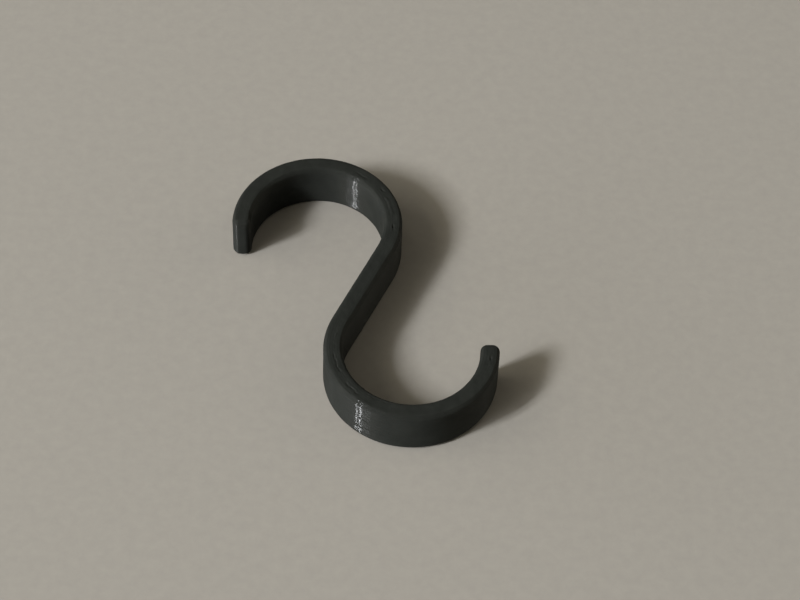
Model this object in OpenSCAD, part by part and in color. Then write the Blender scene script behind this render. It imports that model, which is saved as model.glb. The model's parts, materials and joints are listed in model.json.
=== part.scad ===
// S hook made flat, in one piece. Two equal round loops open to opposite sides and
// are joined by a straight, leaning shank. The band has the same section all along:
// narrow in the outline, deep across it, with rounded long edges and blunt tips.
// The hook lies on its side on the XY plane, with the middle of its shank at the
// origin and the tips of both loops parallel to Y.

/* [Band] */
// Width of the band, as it shows in the outline
band_w = 4; // [3.5:0.25:8]
// Depth of the band, which is the height of the hook as it lies
band_depth = 11; // [4:0.5:30]
// Radius along all the long edges of the band
edge_r = 1.2; // [0.4:0.1:1.2]

/* [Loops] */
// Inside diameter of each loop, which is the thickest rail that it seats
loop_d = 28; // [12:1:60]
// Angle that each loop turns through from the shank to its tip, in degrees
loop_turn = 204.5; // [180:0.5:225]

/* [Shank] */
// Straight length between the two loops
shank_len = 21; // [4:1:100]

/* [Tips] */
// Radius of the two corners of each tip, in the outline
tip_r = 1.5; // [1.3:0.1:1.7]

/* [Hidden] */
$fn = 96;
graphite = [0.17, 0.18, 0.18];
// From a loop's centre to the middle of the band
loop_r = (loop_d + band_w) / 2;
// The shank leans by what the loops turn beyond a half circle
lean = loop_turn - 180;
// The tip's surface lies this far inside the band's, too little to see, so that the
// two solids meet in a clean step
tip_inset = 0.01;
// How far the tip reaches back into the end of its loop
tip_root = 0.2;
// Width of the tip, and what its two corners leave of it
tip_w = band_w - 2 * tip_inset;
tip_flat = tip_w - 2 * tip_r;

// Upright section of the given width, centred on X, with all four corners rounded.
// The inset draws its top, its foot and its corners in towards the middle.
module slab(width, inset = 0) {
    corner_r = edge_r - inset;
    corner_x = width / 2 - corner_r;
    foot = inset;
    top = band_depth - inset;
    translate([-width / 2, foot + corner_r])
        square([width, top - foot - 2 * corner_r]);
    translate([-corner_x, foot])
        square([2 * corner_x, top - foot]);
    for (x = [-corner_x, corner_x], y = [foot + corner_r, top - corner_r])
        translate([x, y])
            circle(r = corner_r);
}

// Half of a section, which a corner of the tip sweeps round its own axis
module corner_slab() {
    intersection() {
        slab(2 * tip_r, tip_inset);
        square([tip_r, band_depth]);
    }
}

// Blunt end of the band: it points along Y, and its corners turn about the X axis's
// level, from where its root runs back
module tip() {
    for (side = [0, 1])
        mirror([side, 0, 0])
            translate([tip_flat / 2, 0, 0])
                rotate_extrude(angle = 90)
                    corner_slab();
    translate([-tip_flat / 2, 0, 0])
        rotate([90, 0, 90])
            linear_extrude(tip_flat)
                corner_slab();
    rotate([90, 0, 0])
        linear_extrude(tip_root)
            slab(tip_w, tip_inset);
}

// Loop about its own centre, turning from the X axis round to its tip
module loop() {
    rotate_extrude(angle = loop_turn)
        translate([loop_r, 0])
            slab(band_w);
    rotate([0, 0, loop_turn])
        translate([loop_r, 0, 0])
            tip();
}

// Straight middle of the hook, along Y
module shank() {
    rotate([90, 0, 0])
        linear_extrude(shank_len, center = true)
            slab(band_w);
}

// The whole hook. Its second loop is the first, turned half round the shank's middle.
module s_hook() {
    color(graphite)
        rotate([0, 0, -lean]) {
            shank();
            for (turn = [0, 180])
                rotate([0, 0, turn])
                    translate([-loop_r, shank_len / 2, 0])
                        loop();
        }
}

s_hook();
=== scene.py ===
import json
import math

import bmesh
import bpy
import numpy as np
from mathutils import Matrix, Quaternion, Vector, noise


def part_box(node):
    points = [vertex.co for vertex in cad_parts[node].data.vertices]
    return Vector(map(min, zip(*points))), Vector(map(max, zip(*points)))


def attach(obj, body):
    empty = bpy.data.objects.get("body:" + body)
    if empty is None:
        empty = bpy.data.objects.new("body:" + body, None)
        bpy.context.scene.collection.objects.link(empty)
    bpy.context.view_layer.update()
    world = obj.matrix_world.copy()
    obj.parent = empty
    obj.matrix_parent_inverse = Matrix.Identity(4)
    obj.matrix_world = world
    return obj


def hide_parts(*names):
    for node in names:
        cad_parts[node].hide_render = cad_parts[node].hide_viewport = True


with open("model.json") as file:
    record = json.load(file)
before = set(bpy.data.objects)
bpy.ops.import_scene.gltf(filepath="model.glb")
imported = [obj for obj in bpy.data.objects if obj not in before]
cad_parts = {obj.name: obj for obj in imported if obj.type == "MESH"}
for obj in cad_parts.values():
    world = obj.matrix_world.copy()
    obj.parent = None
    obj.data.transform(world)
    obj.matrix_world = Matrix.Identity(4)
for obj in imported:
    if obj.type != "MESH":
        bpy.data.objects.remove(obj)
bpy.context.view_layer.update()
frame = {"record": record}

# The s hook as it is printed: a stack of thin plastic layers, each a closed line of molten bead
# that follows the hook's outline. Lengths are millimetres in the hook's own frame, as in the CAD,
# and MM turns them into metres. The floor, the lamps' distance and the clipping are in metres.

MM = 0.001
NODE = "s_hook"

# ---- The hook's plan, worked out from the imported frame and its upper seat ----

LOWEST, HIGHEST = (np.array(corner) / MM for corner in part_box(NODE))
UPPER_SEAT = next(m for m in frame["record"]["mounts"] if m["name"] == "upper_seat")
UPPER_LOOP = np.array(UPPER_SEAT["pos_m"][:2]) / MM
DEPTH = HIGHEST[2] - LOWEST[2]
BORE_R = UPPER_SEAT["dims"]["r_mm"]
OUTER_R = HIGHEST[0] + UPPER_LOOP[0]
BAND_W = OUTER_R - BORE_R
MID_R = BORE_R + BAND_W / 2
HALF_SHANK = math.sqrt(UPPER_LOOP @ UPPER_LOOP - MID_R**2)
LEAN = math.atan2(MID_R, HALF_SHANK) - math.atan2(-UPPER_LOOP[0], UPPER_LOOP[1])
# The long edges' rounding and the tips' corners, as in part.scad
EDGE_R = 1.2
TIP_R = 1.5

# ---- The layers ----

LAYER = 0.2
LAYERS = round(DEPTH / LAYER)
# The first layer of the rounded top edge
EDGE_LAYER = round((DEPTH - EDGE_R) / LAYER)
# A bead's section: how deep the groove between two beads is, and how far in and how far above
# and below the bead's middle its shoulders lie
BEAD_GROOVE = 0.070
SHOULDER_INSET = 0.040
SHOULDER_RISE = 0.055
# How far a whole layer may lie inwards, and where its share of that is read from the noise
LAYER_DRIFT = 0.012
DRIFT_STEP = 0.83
DRIFT_AT = (0.4, 7.1)
# How the nozzle wandered: size of a wave, its length along the wall and its rise up the wall
WALL_WAVES = ((0.030, 2.6, 0.9), (0.030, 1.5, 0.45))
GROOVE_WAVES = WALL_WAVES + ((0.080, 1.3, 0.45),)

# Where every layer's line starts and ends, on the upper tip's outer corner, and the dent it
# leaves there: its place in shares of the corner's radius, its radius and depth, how fast the
# depth changes up the wall, and where that is read from the noise
SEAM_IN, SEAM_OUT = 0.3, 0.7
SEAM = UPPER_LOOP - (OUTER_R - SEAM_IN * TIP_R, SEAM_OUT * TIP_R)
SEAM_R = 0.4
SEAM_DEPTH = 0.16
SEAM_RISE = 0.8
SEAM_AT = (4.1, 0.3)

# ---- The top and bottom faces ----

# The lines on half of a face, and the groove between two of them
FACE_LINES = 3
FACE_GROOVE = 0.010
FACE_GROOVE_W = 0.09
# How far the top lies under the CAD's face on average, with each wave's size and length, and
# how far in from the wall that starts and over what width it comes in
TOP_SINK = 0.07
TOP_WAVES = ((0.050, 1.7), (0.034, 0.8), (0.014, 0.4))
TOP_WAVES_AT = 3.7
SINK_FROM = 0.55
SINK_OVER = 0.35
# Gaps and pits in the top, where lines didn't meet: which loop (1 upper, -1 lower), radius from
# its centre, first and last angle in degrees in that loop's own frame, half width, depth and lip
TOP_FLAWS = (
    (-1, 15.9, 10, 26, 0.18, 0.12, 0.03),
    (-1, 16.2, 37, 49, 0.19, 0.13, 0.03),
    (-1, 15.1, 53, 77, 0.16, 0.08, 0.00),
    (-1, 15.6, -12, -6, 0.16, -0.07, 0.00),
    (-1, 16.33, 171, 172, 0.17, 0.36, 0.12),
    (-1, 16.33, 166, 167, 0.15, -0.10, 0.00),
    (-1, 17.2, 45, 66, 0.12, -0.08, 0.00),
    (1, 15.9, 9, 25, 0.24, -0.11, -0.05),
    (1, 15.75, 51, 59, 0.18, 0.15, 0.03),
    (1, 14.85, 50, 58, 0.12, -0.08, 0.00),
    (1, 16.3, 32, 35, 0.18, 0.18, 0.04),
    (1, 16.1, -6, -3, 0.18, 0.24, 0.08),
)
# Over how many degrees a flaw fades at its ends, and how far off its line its lip stands, in
# half widths
FLAW_END = 1.2
LIP_AT = 2.0
# The wavering of a flaw's line: size and length along it
FLAW_WAVES = ((0.10, 2.6), (0.05, 1.1))
# The wavering of its depth: mean, swing and length along it
FLAW_MEAN, FLAW_SWING, FLAW_SWING_LENGTH = 0.65, 0.35, 1.3

# ---- The meshes ----

# How many steps the outline takes on a tip's corner, a loop's arc and the shank
LAYER_STEPS = (12, 96, 10)
EDGE_STEPS = (12, 250, 84)
# How many rows cross a line of the underside, and of the top
LAYER_CUTS = 3
EDGE_CUTS = 6
# How far the two meshes reach past the height where they meet, and how near points join
OVERLAP = 0.06
WELD = 0.004


def noise_share(x, y, z):
    """Smooth noise at a place, about 0 to 1."""
    return 0.5 + 0.5 * noise.noise((x, y, z))


def ring_points(centre, radius, start, end, steps):
    """Points on an arc from start to end, both included."""
    turns = np.linspace(start, end, steps + 1)
    return np.array(centre) + radius * np.column_stack((np.cos(turns), np.sin(turns)))


def half_outline(inset, steps):
    """The upper tip's end and the left side of the band down to the lower tip, set in by inset."""
    tip_steps, arc_steps, shank_steps = steps
    past_corner = max(inset - TIP_R, 0.0)
    corner_r = max(TIP_R - inset, 0.0)
    corner_x = min(BAND_W / 2 - TIP_R, BAND_W / 2 - inset)
    tip = UPPER_LOOP + np.array((-MID_R, past_corner))
    inner_corner = ring_points(tip + (corner_x, 0), corner_r, 0, -math.pi / 2, tip_steps)
    outer_corner = ring_points(tip - (corner_x, 0), corner_r, -math.pi / 2, -math.pi, tip_steps)

    outer_r = OUTER_R - inset
    inner_r = BORE_R + inset
    outer_start = math.pi - math.asin(past_corner / outer_r)
    inner_end = 2 * math.pi - math.asin(past_corner / inner_r)
    upper_arc = ring_points(UPPER_LOOP, outer_r, outer_start, -LEAN, arc_steps)[1:]
    lower_arc = ring_points(-UPPER_LOOP, inner_r, math.pi - LEAN, inner_end, arc_steps)[:-1]
    along = np.linspace(0, 1, shank_steps + 1)[1:-1, None]
    shank = upper_arc[-1] * (1 - along) + lower_arc[0] * along
    return np.vstack((inner_corner, outer_corner, upper_arc, shank, lower_arc))


def outline(inset, steps):
    """The whole closed outline of the hook seen from above, set in by inset."""
    half = half_outline(inset, steps)
    return np.vstack((half, -half))


def edge_tilt(height):
    """How far the wall leans back at a height, in radians: up at the top, down at the foot."""
    by_top = max(height - (DEPTH - EDGE_R), 0.0) / EDGE_R
    by_underside = max(EDGE_R - height, 0.0) / EDGE_R
    return math.asin(by_top) - math.asin(by_underside)


def wall_point(height, depth):
    """(inset, height) at a depth under the CAD's wall; the relief fades out round the edges."""
    tilt = edge_tilt(height)
    sunk = depth * math.cos(tilt)
    inset = EDGE_R * (1 - math.cos(tilt)) + sunk * math.cos(tilt)
    return inset, height - sunk * math.sin(tilt)


def wall_rows(first, last):
    """(inset, height, is a groove) of each line of points up these layers, four to a bead."""
    rows = [(*wall_point(first * LAYER, BEAD_GROOVE), True)]
    for layer in range(first, last):
        drift = LAYER_DRIFT * noise_share(layer * DRIFT_STEP, *DRIFT_AT)
        middle = (layer + 0.5) * LAYER
        rows.append((*wall_point(middle - SHOULDER_RISE, drift + SHOULDER_INSET), False))
        rows.append((*wall_point(middle, drift), False))
        rows.append((*wall_point(middle + SHOULDER_RISE, drift + SHOULDER_INSET), False))
        rows.append((*wall_point((layer + 1) * LAYER, BEAD_GROOVE), True))
    return rows


def edge_drop(inset):
    """How far the rounded edge lies below the face, at an inset from the wall."""
    return EDGE_R - math.sqrt(EDGE_R**2 - max(EDGE_R - inset, 0.0) ** 2)


def face_rows(cuts):
    """(inset, depth below the face, is a groove) of the face's rows, from wall to middle."""
    rim = wall_point(LAYER, 0)[0]
    line_w = (BAND_W / 2 - rim) / FACE_LINES
    rows = []
    for line in range(FACE_LINES):
        start, end = rim + line * line_w, rim + (line + 1) * line_w
        for inset in np.linspace(start + FACE_GROOVE_W / 2, end - FACE_GROOVE_W / 2, cuts):
            rows.append((inset, edge_drop(inset), False))
        rows.append((end, edge_drop(end) + FACE_GROOVE, True))
    return rows


def layer_rows():
    """The rows of the layers under the rounded top edge, from the underside's middle up."""
    # The underside is at height 0, so a depth into it is a height
    underside = face_rows(LAYER_CUTS)[::-1]
    wall = wall_rows(1, EDGE_LAYER)
    lid = EDGE_LAYER * LAYER + OVERLAP
    return underside + wall + [(EDGE_R / 2, lid, True), (BAND_W / 2, lid, True)]


def edge_rows():
    """The rows of the layers of the rounded top edge, and of the top face to its middle."""
    base = EDGE_LAYER * LAYER - OVERLAP
    wall = wall_rows(EDGE_LAYER, LAYERS - 1)
    top = [(inset, DEPTH - depth, groove) for inset, depth, groove in face_rows(EDGE_CUTS)]
    return [(BAND_W / 2, base, True), (EDGE_R / 2, base, True)] + wall + top


def wandering(waves, points, height):
    """How far the nozzle wandered inwards at each point of the wall."""
    total = np.zeros(len(points))
    for size, length, rise in waves:
        total += [size * noise_share(x / length, y / length, height / rise) for x, y in points]
    dent = SEAM_DEPTH * noise_share(*SEAM_AT, height / SEAM_RISE)
    off = np.hypot(*(points - SEAM).T) / SEAM_R
    return total + dent * np.exp(-(off**2))


def top_sink(points):
    """How far the top face is sunk at each point, by unevenness and by the flaws in the table."""
    total = np.full(len(points), TOP_SINK)
    for size, length in TOP_WAVES:
        places = [(x / length, y / length, TOP_WAVES_AT) for x, y in points]
        total += [size * noise.noise(place) for place in places]
    for loop, radius, first, last, half_width, depth, lip in TOP_FLAWS:
        across = points * loop - UPPER_LOOP
        angle = np.degrees(np.arctan2(across[:, 1], across[:, 0]))
        along = radius * np.radians(angle)
        line = radius + sum(size * np.sin(math.tau * along / length) for size, length in FLAW_WAVES)
        off_line = (np.hypot(across[:, 0], across[:, 1]) - line) / half_width
        middle, reach = (first + last) / 2, (last - first) / 2
        off_end = np.maximum(np.abs(angle - middle) - reach, 0) / FLAW_END
        strength = FLAW_MEAN + FLAW_SWING * np.sin(math.tau * along / FLAW_SWING_LENGTH)
        pit = depth * np.exp(-(off_line**2)) - lip * np.exp(-((off_line + LIP_AT) ** 2))
        total += np.exp(-(off_end**2)) * strength * pit
    return np.maximum(total, 0)


def on_wall(inset, height):
    """Whether a row is part of the visible wall, and not of a face or of a hidden lid."""
    return inset < EDGE_R / 2 and LAYER - WELD < height < DEPTH - LAYER + WELD


def row_points(wall, inward, row, steps):
    """One row of the stack: the outline at its inset and height, with its relief."""
    inset, height, groove = row
    plan = outline(inset, steps)
    heights = np.full(len(plan), height)
    if on_wall(inset, height):
        waves = GROOVE_WAVES if groove else WALL_WAVES
        plan = plan + inward * wandering(waves, wall, height)[:, None]
    elif height > DEPTH - LAYER:
        heights -= top_sink(plan) * min((inset - SINK_FROM) / SINK_OVER, 1)
    return np.column_stack((plan, heights))


def stack_mesh(name, rows, steps):
    """One closed mesh: a stack of outlines, joined row to row and welded along the middle."""
    wall = outline(0, steps)
    inward = outline(1, steps) - wall
    count = len(wall)
    points = [row_points(wall, inward, row, steps) for row in rows]
    faces = []
    for low in range(0, (len(rows) - 1) * count, count):
        high = low + count
        for i in range(count):
            j = (i + 1) % count
            faces.append((low + j, low + i, high + i, high + j))
    mesh = bpy.data.meshes.new(name)
    mesh.from_pydata((np.vstack(points) * MM).tolist(), [], faces)
    row_of = mesh.attributes.new("row", "INT", "POINT")
    row_of.data.foreach_set("value", np.repeat(np.arange(len(rows)), count))
    weld_and_crease(mesh, {i for i, (_, _, groove) in enumerate(rows) if groove})
    return mesh


def weld_and_crease(mesh, grooves):
    """Joins points that meet, and keeps the grooves between beads crisp under smooth shading."""
    shape = bmesh.new()
    shape.from_mesh(mesh)
    bmesh.ops.remove_doubles(shape, verts=shape.verts, dist=WELD * MM)
    row_of = shape.verts.layers.int["row"]
    for face in shape.faces:
        face.smooth = True
    for edge in shape.edges:
        first, second = (v[row_of] for v in edge.verts)
        edge.smooth = not (first == second and first in grooves)
    bmesh.ops.recalc_face_normals(shape, faces=shape.faces)
    shape.verts.layers.int.remove(row_of)
    shape.to_mesh(mesh)
    shape.free()


# ---- Materials ----

# Dark grey satin filament: its shader, its mottled colour and gloss, and its fine grain
PLASTIC = {"Specular IOR Level": 0.06, "Coat Weight": 0.125, "Coat Roughness": 0.08}
PLASTIC_MOTTLE = {"Scale": 260, "Detail": 4}
PLASTIC_TONES = ((0.0209, 0.0227, 0.0204, 1), (0.0261, 0.0283, 0.0254, 1))
PLASTIC_ROUGHNESS = {"To Min": 0.42, "To Max": 0.6}
PLASTIC_GRAIN = {"Scale": 5200, "Detail": 3}
PLASTIC_BUMP = {"Strength": 0.25, "Distance": 0.00004}
# A plain pale table top with a faint unevenness
TABLE = {"Roughness": 0.75, "Specular IOR Level": 0.2}
TABLE_CLOUD = {"Scale": 420, "Detail": 4, "Roughness": 0.65}
TABLE_TONES = ((0.368, 0.349, 0.317, 1), (0.396, 0.375, 0.340, 1))
# Where in the noise's range the darker and the paler of two tones are reached
TONES_AT = (0.3, 0.7)


class Material:
    """A node material that is made up step by step."""

    def __init__(self, name, settings):
        self.made = bpy.data.materials.new(name)
        self.made.use_nodes = True
        self.nodes = self.made.node_tree.nodes
        self.shader = next(n for n in self.nodes if n.type == "BSDF_PRINCIPLED")
        self.place = self.nodes.new("ShaderNodeTexCoord").outputs["Object"]
        set_inputs(self.shader, settings)

    def link(self, output, node, socket):
        self.made.node_tree.links.new(output, node.inputs[socket])

    def add_node(self, kind, output, socket, settings):
        """A new node with its inputs set, and one of them fed by an output."""
        node = self.nodes.new(kind)
        set_inputs(node, settings)
        self.link(output, node, socket)
        return node

    def add_noise(self, settings):
        return self.add_node("ShaderNodeTexNoise", self.place, "Vector", settings).outputs["Fac"]

    def colour_by(self, output, tones):
        """Turns an output into the base colour, between two tones."""
        ramp = self.add_node("ShaderNodeValToRGB", output, "Fac", {})
        for stop, position, tone in zip(ramp.color_ramp.elements, TONES_AT, tones):
            stop.position = position
            stop.color = tone
        self.link(ramp.outputs["Color"], self.shader, "Base Color")


def set_inputs(node, settings):
    for name, value in settings.items():
        node.inputs[name].default_value = value


def printed_plastic():
    plastic = Material("layered_filament", PLASTIC)
    mottle = plastic.add_noise(PLASTIC_MOTTLE)
    plastic.colour_by(mottle, PLASTIC_TONES)
    gloss = plastic.add_node("ShaderNodeMapRange", mottle, "Value", PLASTIC_ROUGHNESS)
    plastic.link(gloss.outputs["Result"], plastic.shader, "Roughness")
    grain = plastic.add_noise(PLASTIC_GRAIN)
    bump = plastic.add_node("ShaderNodeBump", grain, "Height", PLASTIC_BUMP)
    plastic.link(bump.outputs["Normal"], plastic.shader, "Normal")
    return plastic.made


def table_top():
    table = Material("pale_floor", TABLE)
    table.colour_by(table.add_noise(TABLE_CLOUD), TABLE_TONES)
    return table.made


# ---- The set: floor, backdrop, light and camera ----

FLOOR_R = 5.0
FLOOR_SEGMENTS = 96
BACKDROP_BEND = 0.3
BACKDROP_STEPS = 12
BACKDROP_H = 0.6

CAMERA_AIM = (7.73, 4.12, 0.0)
CAMERA_DISTANCE = 526.2
CAMERA_AZIMUTH = -90.83
CAMERA_ELEVATION = 52.03
CAMERA_ROLL = 2.43
CAMERA_LENS = 112.0
CAMERA_SENSOR = 36.0
CAMERA_CLIP = (0.01, 10.0)

SKY = (0.01, 0.01, 0.01, 1)
LAMP_DISTANCE = 4.0
# Each lamp: azimuth, elevation, width, height and lean in degrees, and its share of the light
# on the floor
WINDOW = {
    "key_left": (-152.3, 36.2, 1.8, 13.0, 16.6, 0.220),
    "key_right": (-147.5, 36.2, 1.8, 13.0, 16.6, 0.284),
    "side_panel": (-140.5, 36.2, 8.0, 13.0, 16.6, 0.073),
    "low_left": (-180.0, 7.5, 60.0, 12.0, 0.0, 0.048),
}
ROOM = {
    "soft_box": (-163.0, 41.0, 60.0, 26.0, 0.0, 0.224),
    "low_right": (-8.0, 7.5, 90.0, 12.0, 0.0, 0.031),
    "right_panel": (20.0, 36.0, 40.0, 30.0, 0.0, 0.038),
    "back_left": (136.0, 30.0, 12.0, 12.0, 0.0, 0.017),
    "ceiling": (-120.0, 80.0, 70.0, 70.0, 0.0, 0.139),
}
WINDOW_TINT = (0.96, 0.975, 1.0)
ROOM_TINT = (1.0, 0.925, 0.76)


def add(name, data):
    made = bpy.data.objects.new(name, data)
    bpy.context.scene.collection.objects.link(made)
    return made


def build_floor():
    """A round floor that curves up into a low backdrop all round, so it has no horizon line."""
    profile = []
    for turn in np.linspace(0, math.pi / 2, BACKDROP_STEPS + 1):
        radius = FLOOR_R - BACKDROP_BEND + BACKDROP_BEND * math.sin(turn)
        profile.append((radius, BACKDROP_BEND * (1 - math.cos(turn))))
    profile.append((FLOOR_R, BACKDROP_H))
    points = [(0.0, 0.0, 0.0)]
    for radius, height in profile:
        for i in range(FLOOR_SEGMENTS):
            turn = math.tau * i / FLOOR_SEGMENTS
            points.append((radius * math.cos(turn), radius * math.sin(turn), height))
    faces = [(0, 1 + i, 1 + (i + 1) % FLOOR_SEGMENTS) for i in range(FLOOR_SEGMENTS)]
    for row in range(len(profile) - 1):
        low, high = 1 + row * FLOOR_SEGMENTS, 1 + (row + 1) * FLOOR_SEGMENTS
        for i in range(FLOOR_SEGMENTS):
            j = (i + 1) % FLOOR_SEGMENTS
            faces.append((low + j, low + i, high + i, high + j))
    mesh = bpy.data.meshes.new("floor")
    mesh.from_pydata(points, [], faces)
    mesh.shade_smooth()
    floor = add("floor", mesh)
    floor.data.materials.append(table_top())


def direction(azimuth, elevation):
    """The unit vector that points that way, azimuth from +X towards +Y, both in degrees."""
    turn, rise = math.radians(azimuth), math.radians(elevation)
    flat = math.cos(rise)
    return Vector((math.cos(turn) * flat, math.sin(turn) * flat, math.sin(rise)))


def build_lights():
    world = bpy.data.worlds.new("studio")
    bpy.context.scene.world = world
    world.use_nodes = True
    set_inputs(world.node_tree.nodes["Background"], {"Color": SKY, "Strength": 1.0})
    for lamps, tint in ((WINDOW, WINDOW_TINT), (ROOM, ROOM_TINT)):
        for name, placing in lamps.items():
            build_lamp(name, tint, *placing)


def build_lamp(name, tint, azimuth, elevation, width, height, lean, share):
    """A rectangular lamp that faces the hook and looks that wide and high from there."""
    lamp = bpy.data.lights.new(name, "AREA")
    lamp.shape = "RECTANGLE"
    lamp.size = 2 * LAMP_DISTANCE * math.tan(math.radians(width / 2))
    lamp.size_y = 2 * LAMP_DISTANCE * math.tan(math.radians(height / 2))
    lamp.energy = share * math.pi**2 * LAMP_DISTANCE**2 / math.sin(math.radians(elevation))
    lamp.color = tint
    made = add(name, lamp)
    away = direction(azimuth, elevation)
    made.location = away * LAMP_DISTANCE
    upright = away.to_track_quat("Z", "Y")
    made.rotation_euler = (upright @ Quaternion((0, 0, 1), math.radians(lean))).to_euler()
    made.visible_camera = False


def build_camera():
    camera = bpy.data.cameras.new("camera")
    camera.sensor_width = CAMERA_SENSOR
    camera.lens = CAMERA_LENS
    camera.clip_start, camera.clip_end = CAMERA_CLIP
    made = add("camera", camera)
    towards = -direction(CAMERA_AZIMUTH, CAMERA_ELEVATION)
    right = towards.cross(Vector((0, 0, 1))).normalized()
    up = right.cross(towards)
    roll = math.radians(CAMERA_ROLL)
    rolled_right = right * math.cos(roll) + up * math.sin(roll)
    rolled_up = up * math.cos(roll) - right * math.sin(roll)
    place = Vector(CAMERA_AIM) * MM - towards * CAMERA_DISTANCE * MM
    axes = Matrix((rolled_right, rolled_up, -towards)).transposed()
    made.matrix_world = Matrix.Translation(place) @ axes.to_4x4()
    bpy.context.scene.camera = made


# ---- Everything in its place ----

PIECES = {
    "printed_layers": (layer_rows(), LAYER_STEPS),
    "top_edge": (edge_rows(), EDGE_STEPS),
}
filament = printed_plastic()
for name, (rows, steps) in PIECES.items():
    piece = add(name, stack_mesh(name, rows, steps))
    piece.data.materials.append(filament)
    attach(piece, "root")
    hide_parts(NODE)

build_floor()
build_lights()
build_camera()
bpy.context.scene.view_settings.view_transform = "Standard"
